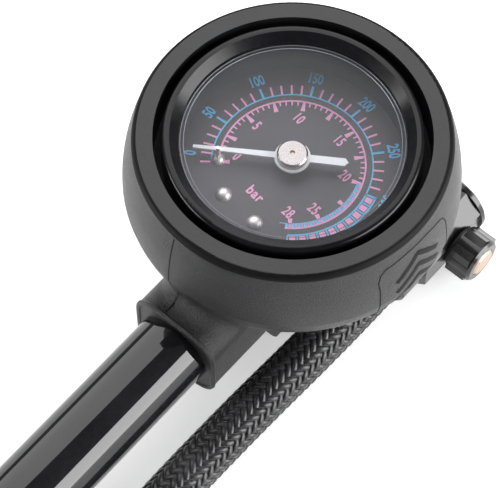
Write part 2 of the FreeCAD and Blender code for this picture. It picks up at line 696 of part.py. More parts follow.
sector_pin = primitive("Part::Cylinder", "sector_arbor", (SECTOR_X, 0, S["back_plate_low"] + 0.1),
                       Radius=0.6, Height=S["front_plate_low"] - S["back_plate_low"] + S["plate_thick"] - 0.2)
keep(sector_pin, "sector_arbor")

BOURDON = S["bourdon_circle"]
bourdon = new_body("bourdon_tube", (0, 0, S["gear_low"]))
bourdon_sketch = new_sketch(bourdon, "XZ_Plane", "bourdon_section")
outline(bourdon_sketch, [
    (BOURDON - 0.8, -1.7), (BOURDON, -2.5), (BOURDON + 0.8, -1.7),
    (BOURDON + 0.8, 1.7), (BOURDON, 2.5), (BOURDON - 0.8, 1.7),
])
bourdon_arc = bourdon.newObject("PartDesign::Revolution", "bourdon_arc")
bourdon_arc.Profile = bourdon_sketch
bourdon_arc.ReferenceAxis = (bourdon_sketch, ["V_Axis"])
bourdon_arc.Angle = 235.0
pad(bourdon, "YZ_Plane", Size(4.62, "4.62"), BOURDON - 4.22, lambda sketch: outline(sketch, [
    (-1.6, S["back_plate_low"] - S["gear_low"] - 0.3), (1.6, S["back_plate_low"] - S["gear_low"] - 0.3),
    (1.6, -1.0), (-1.6, -1.0)]))

def moved(shape, x, y, z, degrees=0.0):
    """Copy of a shape, turned about Z and then shifted."""
    copy = shape.copy()
    copy.Placement = Placement(Vector(x, y, z), Rotation(Vector(0, 0, 1), degrees))
    return copy


def capsule(length, width, thick):
    """Flat bar with round ends, from its first centre at the origin along +X."""
    radius = width / 2
    bar = Part.makeBox(length, width, thick, Vector(0, -radius, 0))
    far_eye = Part.makeCylinder(radius, thick, Vector(length, 0, 0))
    return bar.fuse([Part.makeCylinder(radius, thick), far_eye])


TUBE_ARC = 235.0
EAR_REACH = sheet.get("bourdon_circle") - 5.2
LINK_TRAVEL = 2 * link_pin.y
LINK_LOW = GEAR_RISE + 0.1
LINK_THICK = 0.5
tip_cap = Part.makeBox(1.8, 1.2, 5.2, Vector(sheet.get("bourdon_circle") - 0.9, 0, -2.6))
ear = Part.makeBox(5.6, 1.2, 0.5, Vector(EAR_REACH - 0.6, 0, LINK_LOW + LINK_THICK + 0.1))
ear_pin = Part.makeCylinder(0.35, 0.7, Vector(EAR_REACH, 0.6, LINK_LOW))
tip_cap, ear, ear_pin = (moved(piece, 0, 0, 0, TUBE_ARC) for piece in (tip_cap, ear, ear_pin))
shaped("bourdon_tip", tip_cap.fuse([ear, ear_pin]).removeSplitter(), (0, 0, S["gear_low"]))

turned_arc = math.radians(TUBE_ARC)
foot = Vector(EAR_REACH * math.cos(turned_arc) - 0.6 * math.sin(turned_arc),
              EAR_REACH * math.sin(turned_arc) + 0.6 * math.cos(turned_arc), 0)
top = Vector(number(SECTOR_X) + (link_pin.x - LINK_REACH) / 2, link_pin.y, 0)
reach = foot - top
lean = math.degrees(math.atan2(reach.y, reach.x))
link = moved(capsule(reach.Length, 1.4, LINK_THICK), top.x, top.y, 0, lean)
link = link.fuse([Part.makeCylinder(1.1, LINK_THICK, top),
                  moved(capsule(LINK_TRAVEL, 1.8, LINK_THICK), foot.x, foot.y, 0, 90.0)])
link = link.cut([moved(capsule(0.3, 0.86, 2.0), top.x - 0.15, top.y, -1),
                 moved(capsule(LINK_TRAVEL, 0.86, 2.0), foot.x, foot.y, -1, 90.0)]).removeSplitter()
shaped("bourdon_link", link, (0, 0, S["gear_low"] + LINK_LOW))

# ---------------------------------------------------------------- pointer

NEEDLE = sheet.get("pointer_angle")
needle_points = [
    (sheet.get("pointer_tip"), 0.30), (3.0, 0.60), (3.0, -0.60), (sheet.get("pointer_tip"), -0.30),
]
needle = Part.Face(Part.makePolygon([Vector(x, y, 0) for x, y in needle_points + needle_points[:1]]))
tail_points = [(-3.0, 0.72), (-9.3, 0.78), (-sheet.get("pointer_tail"), 0), (-9.3, -0.78), (-3.0, -0.72)]
needle_tail = Part.Face(Part.makePolygon([Vector(x, y, 0) for x, y in tail_points + tail_points[:1]]))
pointer = needle.extrude(Vector(0, 0, sheet.get("pointer_thick")))
pointer = pointer.fuse(needle_tail.extrude(Vector(0, 0, sheet.get("pointer_thick"))))
pointer = pointer.fuse(Part.makeCylinder(3.2, sheet.get("pointer_thick")))
pointer = pointer.cut(Part.makeCylinder(0.5, 3, Vector(0, 0, -1))).removeSplitter()
shaped("pointer", pointer, (0, 0, S["pointer_low"]), Rotation(Vector(0, 0, 1), NEEDLE))
CAP_LOW = S["pointer_low"] + S["pointer_thick"]
lathe("pointer_cap", "Z", [
    (0.5, CAP_LOW), (2.75, CAP_LOW), (2.75, CAP_LOW + 1.0), (2.45, CAP_LOW + 1.25),
    (0.5, CAP_LOW + 1.25),
])

# ---------------------------------------------------------------- banjo, bleed bolt and button

HOSE_AXIS = (S["banjo_x"], 0, S["port_z"])
PORT_AXIS = (0, S["port_y"], S["port_z"])
FLAT = 0.41421
banjo = new_body("banjo_body", HOSE_AXIS)
pad(banjo, "XZ_Plane", S["banjo_back"], S["banjo_front"] - S["banjo_back"], lambda sketch: outline(sketch, [
    (S["banjo_radius"], S["banjo_radius"] * FLAT), (S["banjo_radius"] * FLAT, S["banjo_radius"]),
    (-S["banjo_radius"] * FLAT, S["banjo_radius"]), (-S["banjo_radius"], S["banjo_radius"] * FLAT),
    (-S["banjo_radius"], -S["banjo_radius"] * FLAT), (-S["banjo_radius"] * FLAT, -S["banjo_radius"]),
    (S["banjo_radius"] * FLAT, -S["banjo_radius"]), (S["banjo_radius"], -S["banjo_radius"] * FLAT),
]))
pocket(banjo, "YZ_Plane", -S["banjo_radius"] - 1.0, S["banjo_radius"] * 2.0 + 2.0,
       lambda sketch: ring(sketch, S["port_y"], 0, S["bolt_radius"] + S["running_gap"]))
lathe("banjo_end_cap", "Y", [
    (S["banjo_front"], 0), (S["cap_front"], 0), (S["cap_front"], S["cap_radius"] - 0.4),
    (S["cap_front"] - 0.4, S["cap_radius"]), (S["banjo_front"], S["cap_radius"]),
], HOSE_AXIS)
lathe("hose_ferrule", "Y", [
    (S["hose_start"], 0), (S["banjo_back"], 0), (S["banjo_back"], 5.0), (S["banjo_back"] - 0.8, 5.6),
    (S["hose_start"] + 0.5, 5.6), (S["hose_start"], 5.1),
], HOSE_AXIS)


def washer(low, thick):
    ring_shape = Part.makeCylinder(4.0, thick).cut(Part.makeCylinder(sheet.get("bolt_radius"), 2))
    ring_shape.Placement = Placement(Vector(low, sheet.get("port_y"), sheet.get("port_z")), ABOUT_X)
    return ring_shape


inner_washer = washer(sheet.get("port_face"), 0.9)
outer_washer = washer(sheet.get("bolt_head_back") - 0.6, 0.6)
shaped("banjo_seals", Part.makeCompound([inner_washer, outer_washer]))

bolt = lathe("banjo_bolt", "X", [
    (5.0, 1.15), (24.7, 1.15), (24.7, S["button_radius"] + 0.06), (S["bolt_tip"], S["button_radius"] + 0.06),
    (S["bolt_tip"], S["bolt_head_radius"] - 0.5), (S["bolt_tip"] - 0.5, S["bolt_head_radius"]),
    (S["bolt_head_back"], S["bolt_head_radius"]), (S["bolt_head_back"], S["bolt_radius"]),
    (5.0, S["bolt_radius"]),
], PORT_AXIS)
pad(bolt, "YZ_Plane", S["bolt_head_back"] + 0.2, S["bolt_head_hex"] - S["bolt_head_back"] - 0.2,
    lambda sketch: [hexagon(S["bolt_head_radius"] * 1.13, turned=12.0)(sketch), ring(sketch, 0, 0, 3.5)])
lathe("bleed_button", "X", [
    (12.0, 0), (S["button_face"], 0), (S["button_face"], S["button_radius"] - 0.4),
    (S["button_face"] - 0.4, S["button_radius"]), (27.3, S["button_radius"]), (27.3, 1.05), (12.0, 1.05),
], PORT_AXIS)

SPRING_BACK = 24.98
SPRING_STEP = 0.6
zigzag = [(SPRING_BACK + SPRING_STEP * fold, 2.3 if fold % 2 else 1.4) for fold in range(4)]
lathe("bleed_spring", "X", zigzag + [(x + 0.3, radius) for x, radius in reversed(zigzag)], PORT_AXIS)

# ---------------------------------------------------------------- hose

ROUTE = [
    (number(S["banjo_x"]), number(S["hose_start"]), number(S["port_z"])),
    (17.5, -9.0, 7.1),
    (16.3, -33.0, 6.5),
    (15.9, -59.0, 5.5),
    (16.9, -85.0, 4.8),
    (17.9, -110.0, 4.9),
    (19.5, -133.0, 5.6),
    (number(S["chuck_x"]), -151.0, number(S["chuck_z"])),
    (number(S["chuck_x"]), number(S["hose_end"]), number(S["chuck_z"])),
]


def rounded_path(points):
    """Straight runs joined by tangent arcs, each as large as 0.45 of its shorter run allows."""
    points = [Vector(*point) for point in points]
    edges = []
    radii = []
    here = points[0]
    for before, corner, after in zip(points, points[1:], points[2:]):
        inward = (corner - before).normalize()
        outward = (after - corner).normalize()
        turned = inward.getAngle(outward)
        cut = 0.45 * min((corner - before).Length, (after - corner).Length)
        radius = cut / math.tan(turned / 2)
        first = corner - inward * cut
        last = corner + outward * cut
        bisector = (outward - inward).normalize()
        centre = corner + bisector * math.hypot(radius, cut)
        middle = centre - bisector * radius
        edges.append(Part.LineSegment(here, first).toShape())
        edges.append(Part.Arc(first, middle, last).toShape())
        radii.append(radius)
        here = last
    edges.append(Part.LineSegment(here, points[-1]).toShape())
    return Part.Wire(edges), radii


hose_path, hose_radii = rounded_path(ROUTE)
hose_start = Vector(*ROUTE[0])
hose_section = Part.Wire(Part.makeCircle(sheet.get("hose_radius"), hose_start, Vector(0, -1, 0)))
hose = hose_path.makePipeShell([hose_section], True, False)
shaped("hose", hose)
print("hose length %.1f, arc radii %s" % (hose_path.Length, [round(radius, 1) for radius in hose_radii]))
expected = math.pi * sheet.get("hose_radius") ** 2 * hose_path.Length
print("hose volume %.1f of %.1f expected" % (hose.Volume, expected))

# ---------------------------------------------------------------- chuck

CHUCK_AXIS = (S["chuck_x"], 0, S["chuck_z"])
CHUCK = S["chuck_start"]
MOUTH = S["chuck_mouth"]
lathe("chuck_ferrule", "Y", [
    (CHUCK, 0), (S["hose_end"], 0), (S["hose_end"], 5.1), (S["hose_end"] - 0.5, 5.6),
    (CHUCK + 0.8, 5.6), (CHUCK, 5.0),
], CHUCK_AXIS)
lathe("chuck_body", "Y", [
    (MOUTH + 9.5, 0), (CHUCK, 0), (CHUCK, 4.6), (CHUCK - 5.0, 4.6), (CHUCK - 5.0, 3.6),
    (MOUTH + 12.4, 3.6), (MOUTH + 12.4, 4.5), (MOUTH + 9.5, 4.5),
], CHUCK_AXIS)
lathe("chuck_sleeve", "Y", [
    (MOUTH, S["valve_thread"]), (MOUTH + 7.4, S["valve_thread"]), (MOUTH + 7.4, 4.6), (MOUTH + 12.5, 4.6),
    (MOUTH + 12.5, 3.7), (MOUTH + 18.5, 3.7), (MOUTH + 18.5, 5.4), (MOUTH + 17.0, 5.8),
    (MOUTH + 15.0, 5.8), (MOUTH + 14.2, S["chuck_radius"]), (MOUTH + 1.0, S["chuck_radius"]),
    (MOUTH, S["chuck_radius"] - 1.0),
], CHUCK_AXIS)
lathe("chuck_seal", "Y", [
    (MOUTH + 7.7, 1.6), (MOUTH + 9.5, 1.6), (MOUTH + 9.5, 4.2), (MOUTH + 7.7, 4.2),
], CHUCK_AXIS)
lathe("valve_pin", "Y", [
    (MOUTH + 7.6, 0), (MOUTH + 9.5, 0), (MOUTH + 9.5, 0.75), (MOUTH + 7.9, 0.75), (MOUTH + 7.6, 0.45),
], CHUCK_AXIS)

# ---------------------------------------------------------------- checks and export

doc.recompute()
for item in doc.Objects:
    if "Invalid" in item.State or "Error" in item.State:
        raise SystemExit("object %s is in state %s" % (item.Label, item.State))
    if item.TypeId in ("PartDesign::Pocket", "PartDesign::Groove"):
        if item.BaseFeature.Shape.Volume - item.Shape.Volume < 0.01:
            raise SystemExit("cut %s removes nothing" % item.Label)
for item in sub_parts:
    if item.Shape.isNull() or not item.Shape.isValid():
        raise SystemExit("sub-part %s has no valid shape" % item.Label)

os.makedirs("parts", exist_ok=True)
for item in sub_parts:
    item.Shape.exportStep("parts/%s.step" % item.Label)
print("%d sub-parts written" % len(sub_parts))
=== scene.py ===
import json
import math

import bmesh
import bpy
from mathutils import Matrix, Vector
from mathutils.bvhtree import BVHTree


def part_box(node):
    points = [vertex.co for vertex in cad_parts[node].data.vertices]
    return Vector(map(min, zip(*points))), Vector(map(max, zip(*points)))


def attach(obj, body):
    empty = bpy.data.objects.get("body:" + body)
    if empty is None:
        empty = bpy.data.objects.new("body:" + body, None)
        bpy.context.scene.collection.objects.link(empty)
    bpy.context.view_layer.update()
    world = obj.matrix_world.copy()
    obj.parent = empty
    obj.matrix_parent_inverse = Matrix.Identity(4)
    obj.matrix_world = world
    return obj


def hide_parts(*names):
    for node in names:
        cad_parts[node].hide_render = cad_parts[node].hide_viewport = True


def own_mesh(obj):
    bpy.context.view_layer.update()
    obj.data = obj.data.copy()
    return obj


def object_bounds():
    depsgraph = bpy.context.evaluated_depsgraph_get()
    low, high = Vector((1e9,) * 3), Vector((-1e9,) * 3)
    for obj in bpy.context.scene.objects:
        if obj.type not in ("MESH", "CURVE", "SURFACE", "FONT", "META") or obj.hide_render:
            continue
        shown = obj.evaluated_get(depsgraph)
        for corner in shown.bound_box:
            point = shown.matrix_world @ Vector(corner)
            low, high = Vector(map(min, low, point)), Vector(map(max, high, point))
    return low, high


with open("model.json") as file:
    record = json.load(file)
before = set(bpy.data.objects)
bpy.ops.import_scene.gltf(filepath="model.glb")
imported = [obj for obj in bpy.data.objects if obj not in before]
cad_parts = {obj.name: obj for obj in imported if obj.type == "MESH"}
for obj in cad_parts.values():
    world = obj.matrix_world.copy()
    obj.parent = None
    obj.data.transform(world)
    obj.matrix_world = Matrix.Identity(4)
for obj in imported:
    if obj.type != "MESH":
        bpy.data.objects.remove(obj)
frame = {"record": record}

MM = 0.001
cad_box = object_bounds()
slots = {entry["node"]: entry["material_slot"] for entry in frame["record"]["subparts"]}


# ---------------------------------------------------------------- mesh helpers (all sizes in mm)

def piece(name, verts, faces, body, slot, mats, smooth=True, tags=None):
    """Mesh object from points in mm; tags gives each face's material index."""
    mesh = bpy.data.meshes.new(name)
    mesh.from_pydata([Vector(v) * MM for v in verts], [], faces)
    for mat in mats:
        mesh.materials.append(mat)
    mesh.polygons.foreach_set("use_smooth", [smooth] * len(mesh.polygons))
    if tags:
        mesh.polygons.foreach_set("material_index", tags)
    mesh.update()
    obj = bpy.data.objects.new(name, mesh)
    bpy.context.collection.objects.link(obj)
    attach(obj, body)
    return obj


def strip(verts, faces, rings):
    """Join rings of points into a tube with flat ends."""
    start = len(verts)
    count = len(rings[0])
    for points in rings:
        verts.extend(points)
    for row in range(len(rings) - 1):
        for col in range(count):
            a = start + row * count + col
            b = start + row * count + (col + 1) % count
            faces.append((a, b, b + count, a + count))
    faces.append(tuple(start + col for col in reversed(range(count))))
    last = start + (len(rings) - 1) * count
    faces.append(tuple(last + col for col in range(count)))


def prism(verts, faces, corners, low, high):
    """Upright solid over a convex outline."""
    strip(verts, faces, [[(x, y, low) for x, y in corners], [(x, y, high) for x, y in corners]])


def polar(radius, degrees):
    """Point of a circle about the dial's axis."""
    angle = math.radians(degrees)
    return radius * math.cos(angle), radius * math.sin(angle)


def turned(name, axis_point, profile, body, slot, mat, sides=96, wave=None):
    """Closed solid of revolution about Y; profile is (y, radius), wave adds to the radius."""
    verts, faces = [], []
    cx, cz = axis_point
    for y, radius in profile:
        for side in range(sides):
            angle = 2 * math.pi * side / sides
            full = radius + (wave(y, angle) if wave else 0.0)
            verts.append((cx + full * math.cos(angle), y, cz + full * math.sin(angle)))
    rows = len(profile)
    for row in range(rows):
        for side in range(sides):
            a = row * sides + side
            b = row * sides + (side + 1) % sides
            c = ((row + 1) % rows) * sides + (side + 1) % sides
            d = ((row + 1) % rows) * sides + side
            faces.append((a, d, c, b))
    obj = piece(name, verts, faces, body, slot, [mat])
    tidy_normals(obj)
    return obj


def tidy_normals(obj, angle=40):
    """Turn all faces outward and mark edges sharper than angle, in degrees."""
    work = bmesh.new()
    work.from_mesh(obj.data)
    bmesh.ops.recalc_face_normals(work, faces=work.faces)
    for edge in work.edges:
        if len(edge.link_faces) == 2 and edge.calc_face_angle(0.0) > math.radians(angle):
            edge.smooth = False
    work.to_mesh(obj.data)
    work.free()


# ---------------------------------------------------------------- materials

NOISE_LOW, NOISE_HIGH = 0.7, 1.3


def shader(name, **sockets):
    """Principled material; each keyword is a socket, with _ for a space."""
    mat = bpy.data.materials.new(name)
    mat.use_nodes = True
    bsdf = mat.node_tree.nodes["Principled BSDF"]
    for socket, amount in sockets.items():
        bsdf.inputs[socket.replace("_", " ")].default_value = amount
    return mat


def node(mat, kind, links=None, **settings):
    """Shader node with its inputs and links set."""
    made = mat.node_tree.nodes.new(kind)
    for key, amount in settings.items():
        if key in ("data_type", "operation"):
            setattr(made, key, amount)
        else:
            made.inputs[key.replace("_", " ")].default_value = amount
    for socket, source in (links or {}).items():
        mat.node_tree.links.new(source, made.inputs[socket])
    return made


def link(mat, source, socket):
    """Feed a socket of the material's Principled node."""
    mat.node_tree.links.new(source, mat.node_tree.nodes["Principled BSDF"].inputs[socket])


def textured(name, dark, light, rough, grain, bump, stretch=(1, 1, 1), mottle=120, **sockets):
    """Principled finish whose colour, roughness and bump come from noise.

    rough is the lowest and highest roughness, grain and mottle are noise scales per metre, and bump is
    the relief's strength and its depth in mm.
    """
    mat = shader(name, **sockets)
    place = node(mat, "ShaderNodeTexCoord").outputs["Object"]
    mapped = node(mat, "ShaderNodeMapping", {"Vector": place}, Scale=stretch).outputs["Vector"]
    fine = node(mat, "ShaderNodeTexNoise", {"Vector": mapped}, Scale=grain, Detail=3.0, Roughness=0.6)
    broad = node(mat, "ShaderNodeTexNoise", {"Vector": place}, Scale=mottle, Detail=2.0)
    both = node(mat, "ShaderNodeMath", {0: fine.outputs["Fac"], 1: broad.outputs["Fac"]},
                operation="ADD")
    spread = node(mat, "ShaderNodeMapRange", {"Value": both.outputs["Value"]},
                  From_Min=NOISE_LOW, From_Max=NOISE_HIGH)
    ramp = node(mat, "ShaderNodeMix", {"Factor": spread.outputs["Result"]}, data_type="RGBA")
    for socket, colour in ((6, dark), (7, light)):
        ramp.inputs[socket].default_value = (*colour, 1)
    link(mat, ramp.outputs[2], "Base Color")
    shine = node(mat, "ShaderNodeMapRange", {"Value": both.outputs["Value"]},
                 From_Min=NOISE_LOW, From_Max=NOISE_HIGH, To_Min=rough[0], To_Max=rough[1])
    link(mat, shine.outputs["Result"], "Roughness")
    strength, distance = bump
    if strength:
        relief = node(mat, "ShaderNodeBump", {"Height": fine.outputs["Fac"]},
                      Strength=strength, Distance=distance * MM)
        link(mat, relief.outputs["Normal"], "Normal")
    return mat


finishes = {
    "boot": textured("boot_plastic", (0.002, 0.002, 0.003), (0.020, 0.020, 0.022), (0.29, 0.44), 3800,
                     (1.0, 0.24), Specular_IOR_Level=0.5),
    "tube": textured("tube_gloss", (0.006, 0.006, 0.007), (0.012, 0.012, 0.013), (0.03, 0.06), 900,
                     (0.0, 0), Coat_Weight=0.15, Coat_Roughness=0.02, IOR=1.5),
    "block": textured("block_aluminium", (0.27, 0.27, 0.28), (0.38, 0.38, 0.39), (0.28, 0.42), 1500,
                      (0.15, 0.02), (1, 8, 8), Metallic=1.0),
    "seal": textured("seal_rubber", (0.018, 0.018, 0.018), (0.03, 0.03, 0.03), (0.6, 0.75), 1800,
                     (0.2, 0.04)),
    "plastic": textured("inner_plastic", (0.03, 0.03, 0.033), (0.055, 0.055, 0.06), (0.38, 0.5), 2000,
                        (0.2, 0.03)),
    "steel": textured("bright_steel", (0.62, 0.60, 0.59), (0.80, 0.78, 0.76), (0.22, 0.34), 2400,
                      (0.1, 0.01), Metallic=1.0),
    "brass": textured("satin_brass", (0.50, 0.37, 0.28), (0.62, 0.48, 0.38), (0.34, 0.46), 2600,
                      (0.2, 0.02), Metallic=1.0),
    "bronze": textured("drawn_bronze", (0.55, 0.34, 0.18), (0.7, 0.46, 0.26), (0.25, 0.4), 1800,
                       (0.15, 0.02), Metallic=1.0),
    "case": textured("case_black", (0.008, 0.008, 0.008), (0.016, 0.016, 0.016), (0.3, 0.42), 1500,
                     (0.15, 0.02)),
    "bezel": textured("bezel_gloss", (0.004, 0.004, 0.005), (0.008, 0.008, 0.009), (0.18, 0.26), 900,
                      (0.05, 0.01), Specular_IOR_Level=0.28),
    "dial": textured("dial_grey", (0.078, 0.068, 0.075), (0.108, 0.096, 0.104), (0.45, 0.6), 3000,
                     (0.1, 0.01)),
    "needle": textured("needle_white", (0.94, 0.94, 0.94), (0.98, 0.98, 0.98), (0.35, 0.45), 2000,
                       (0.05, 0.01)),
    "anodised": textured("black_anodised", (0.006, 0.006, 0.007), (0.014, 0.014, 0.015), (0.16, 0.28),
                         2600, (0.2, 0.02), Coat_Weight=0.2, Coat_Roughness=0.1),
    "hose": textured("hose_rubber", (0.007, 0.007, 0.008), (0.014, 0.014, 0.015), (0.5, 0.65), 1500,
                     (0.2, 0.05)),
    "grip": textured("grip_rubber", (0.020, 0.020, 0.021), (0.036, 0.036, 0.038), (0.55, 0.7), 2200,
                     (0.35, 0.06)),
    "alloy": textured("black_alloy", (0.014, 0.014, 0.015), (0.028, 0.028, 0.030), (0.22, 0.34), 2400,
                      (0.2, 0.02), (1, 6, 1), Coat_Weight=0.3, Coat_Roughness=0.15),
}

# The boot's flange is smoother than its grained sides.
FLANGE_START, FLANGE_FULL = 44.8 * MM, 45.8 * MM
boot_place = node(finishes["boot"], "ShaderNodeTexCoord").outputs["Object"]
boot_height = node(finishes["boot"], "ShaderNodeSeparateXYZ", {"Vector": boot_place}).outputs["Z"]
grained = node(finishes["boot"], "ShaderNodeMapRange", {"Value": boot_height},
               From_Min=FLANGE_START, From_Max=FLANGE_FULL, To_Min=1.0, To_Max=0.22)
finishes["boot"].node_tree.links.new(grained.outputs["Result"],
                                     finishes["boot"].node_tree.nodes["Bump"].inputs["Strength"])

lens = shader("clear_lens", Roughness=0.02, IOR=1.49)
lens_tree = lens.node_tree
see = lens_tree.nodes.new("ShaderNodeBsdfTransparent")
see.inputs["Color"].default_value = (0.97, 0.975, 0.99, 1)
gloss = lens_tree.nodes["Principled BSDF"]
gloss.inputs["Base Color"].default_value = (0.9, 0.92, 0.95, 1)
smear = node(lens, "ShaderNodeTexNoise", {"Vector": node(lens, "ShaderNodeTexCoord").outputs["Object"]},
             Scale=60.0, Detail=2.0)
polish = node(lens, "ShaderNodeMapRange", {"Value": smear.outputs["Fac"]}, To_Min=0.02, To_Max=0.06)
link(lens, polish.outputs["Result"], "Roughness")
facing = node(lens, "ShaderNodeLayerWeight", Blend=0.5)
steep = node(lens, "ShaderNodeMath", {0: facing.outputs["Facing"]}, operation="POWER")
steep.inputs[1].default_value = 5.0
glance = node(lens, "ShaderNodeMapRange", {"Value": steep.outputs["Value"]}, To_Min=0.035, To_Max=0.9)
mixed = node(lens, "ShaderNodeMixShader", {0: glance.outputs["Result"], 1: see.outputs["BSDF"],
                                           2: gloss.outputs["BSDF"]})
lens_tree.links.new(mixed.outputs["Shader"], lens_tree.nodes["Material Output"].inputs["Surface"])
finishes["lens"] = lens

for label, slot in slots.items():
    mesh = bpy.data.objects[label].data
    mesh.materials.clear()
    mesh.materials.append(finishes[slot])

hub_mat = textured("satin_hub", (0.36, 0.33, 0.31), (0.44, 0.40, 0.38), (0.24, 0.30), 2400, (0.05, 0.01),
                   Metallic=1.0)
stud_mat = textured("bright_studs", (0.93, 0.88, 0.84), (0.98, 0.94, 0.91), (0.46, 0.54), 2400,
                    (0.05, 0.01), Metallic=1.0)
rod_mat = textured("ground_rod", (0.34, 0.34, 0.35), (0.42, 0.42, 0.43), (0.16, 0.22), 900, (0.05, 0.005),
                   (4, 1, 4), Metallic=1.0)
for label, mat in (("pointer_cap", hub_mat), ("dial_rivets", stud_mat), ("stop_pin", stud_mat),
                   ("piston_rod", rod_mat)):
    bpy.data.objects[label].data.materials[0] = mat

# ---------------------------------------------------------------- hose

ROUTE = [
    (0.0175, 0.005, 0.0071), (0.0175, -0.009, 0.0071), (0.0163, -0.033, 0.0065), (0.0159, -0.059, 0.0055),
    (0.0169, -0.085, 0.0048), (0.0179, -0.110, 0.0049), (0.0195, -0.133, 0.0056), (0.0214, -0.151, 0.0073),
    (0.0214, -0.164, 0.0073),
]


def route_line():
    """Points of the smooth line through the hose, read from its NURBS spline."""
    curve = bpy.data.curves.new("hose_line", "CURVE")
    curve.dimensions = "3D"
    spline = curve.splines.new("NURBS")
    spline.points.add(len(ROUTE) - 1)
    for point, place in zip(spline.points, ROUTE):
        point.co = (*place, 1)
    spline.order_u = 3
    spline.use_endpoint_u = True
    spline.resolution_u = 24
    holder = bpy.data.objects.new("hose_line", curve)
    bpy.context.collection.objects.link(holder)
    mesh = bpy.data.meshes.new_from_object(holder)
    points = [Vector(vert.co) / MM for vert in mesh.vertices]
    bpy.data.objects.remove(holder)
    bpy.data.meshes.remove(mesh)
    return points


class Line:
    """Distance along a line of points, with frames that don't twist."""

    def __init__(self, points):
        self.points = points
        self.reach = [0.0]
        for here, there in zip(points, points[1:]):
            self.reach.append(self.reach[-1] + (there - here).length)
        self.length = self.reach[-1]
        self.ahead = []
        self.side = []
        side = Vector((1, 0, 0))
        for index in range(len(points)):
            before = points[max(index - 1, 0)]
            after = points[min(index + 1, len(points) - 1)]
            ahead = (after - before).normalized()
            side = (side - ahead * side.dot(ahead)).normalized()
            self.ahead.append(ahead)
            self.side.append(side)
        self.index = 0

    def at(self, along):
        """Place, direction and two sides at a distance along the line."""
        index = self.index
        while index < len(self.points) - 2 and self.reach[index + 1] < along:
            index += 1
        while index > 0 and self.reach[index] > along:
            index -= 1
        self.index = index
        share = (along - self.reach[index]) / (self.reach[index + 1] - self.reach[index])
        place = self.points[index].lerp(self.points[index + 1], share)
        ahead = self.ahead[index].lerp(self.ahead[index + 1], share).normalized()
        side = self.side[index].lerp(self.side[index + 1], share).normalized()
        return place, ahead, side, ahead.cross(side)


line = Line(route_line())

STRANDS = 16
LEAD = 26.7
COLUMN = 2 * math.pi / STRANDS
BRAID_RADIUS, BRAID_WAVE = 4.01, 0.2
STRAND_HALF_WIDTH, STRAND_HALF_THICKNESS = 0.58, 0.29
STRAND_STEP, TUBE_STEP = 0.36, 1.2
HOSE_CORE_RADIUS = 3.85


def braid_strand(verts, faces, sign, phase):
    """One flat strand of a two-over-two braid."""
    steps = int(line.length / STRAND_STEP)
    rings = []
    for step in range(steps + 1):
        along = line.length * step / steps
        place, ahead, side, out = line.at(along)
        turn = phase + sign * 2 * math.pi * along / LEAD
        lift = math.sin(2 * math.pi * (turn / COLUMN) / 2 + (0 if sign > 0 else math.pi))
        height = BRAID_RADIUS + BRAID_WAVE * max(-1.0, min(1.0, 1.5 * lift))
        outward = side * math.cos(turn) + out * math.sin(turn)
        around = out * math.cos(turn) - side * math.sin(turn)
        forward = ahead * (LEAD / (2 * math.pi * height)) + around * sign
        across = forward.normalized().cross(outward)
        centre = place + outward * height
        ring = []
        for corner in range(8):
            angle = math.pi / 4 * corner
            ring.append(centre + across * (STRAND_HALF_WIDTH * math.cos(angle))
                        + outward * (STRAND_HALF_THICKNESS * math.sin(angle)))
        rings.append(ring)
    strip(verts, faces, rings)


def tube_along(verts, faces, radius, sides=32):
    """Round tube along the hose's line."""
    rings = []
    steps = int(line.length / TUBE_STEP)
    for step in range(steps + 1):
        place, _, side, out = line.at(line.length * step / steps)
        turns = [2 * math.pi * k / sides for k in range(sides)]
        rings.append([place + (side * math.cos(turn) + out * math.sin(turn)) * radius for turn in turns])
    strip(verts, faces, rings)


braid_mat = textured("braid_yarn", (0.004, 0.004, 0.005), (0.040, 0.040, 0.043), (0.26, 0.42), 1600,
                     (0.6, 0.08), Sheen_Weight=0.3, Sheen_Roughness=0.4)
verts, faces = [], []
tube_along(verts, faces, HOSE_CORE_RADIUS)
tags = [1] * len(faces)
for sign in (1, -1):
    for strand in range(STRANDS):
        braid_strand(verts, faces, sign, COLUMN * (strand + 0.25))
tags += [0] * (len(faces) - len(tags))
hose = piece("hose_braid", verts, faces, "hose_set", "hose", [braid_mat, finishes["hose"]], tags=tags)
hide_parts("hose")


# ---------------------------------------------------------------- dial print

DIAL_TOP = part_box("dial_plate")[1][2] / MM
PRINT_LOW, PRINT_HIGH = DIAL_TOP + 0.005, DIAL_TOP + 0.05
DIAL_TURN = -6.9
FIGURE_RADIUS = 18.05


def psi_angle(amount):
    """Angle of the outer scale's marks, in degrees from +X."""
    return 219.0 - 0.68 * amount


def bar_angle(amount):
    """Angle of the inner scale's marks, in degrees from +X."""
    return 218.8 - 9.83 * amount


def sector(mark, inner, outer, start, stop):
    """Part of a flat ring between two angles."""
    steps = max(1, int(abs(stop - start) / 2.5))
    rings = []
    for step in range(steps + 1):
        angle = start + (stop - start) * step / steps
        near, far = polar(inner, angle), polar(outer, angle)
        rings.append([(*near, PRINT_LOW), (*far, PRINT_LOW), (*far, PRINT_HIGH), (*near, PRINT_HIGH)])
    strip(*mark, rings)


def tick(mark, angle, inner, outer, inner_width, outer_width):
    """Radial bar of the print."""
    along, across = Vector(polar(1, angle)), Vector(polar(1, angle + 90))
    corners = [along * inner - across * inner_width / 2, along * outer - across * outer_width / 2,
               along * outer + across * outer_width / 2, along * inner + across * inner_width / 2]
    prism(*mark, [tuple(corner) for corner in corners], PRINT_LOW, PRINT_HIGH)


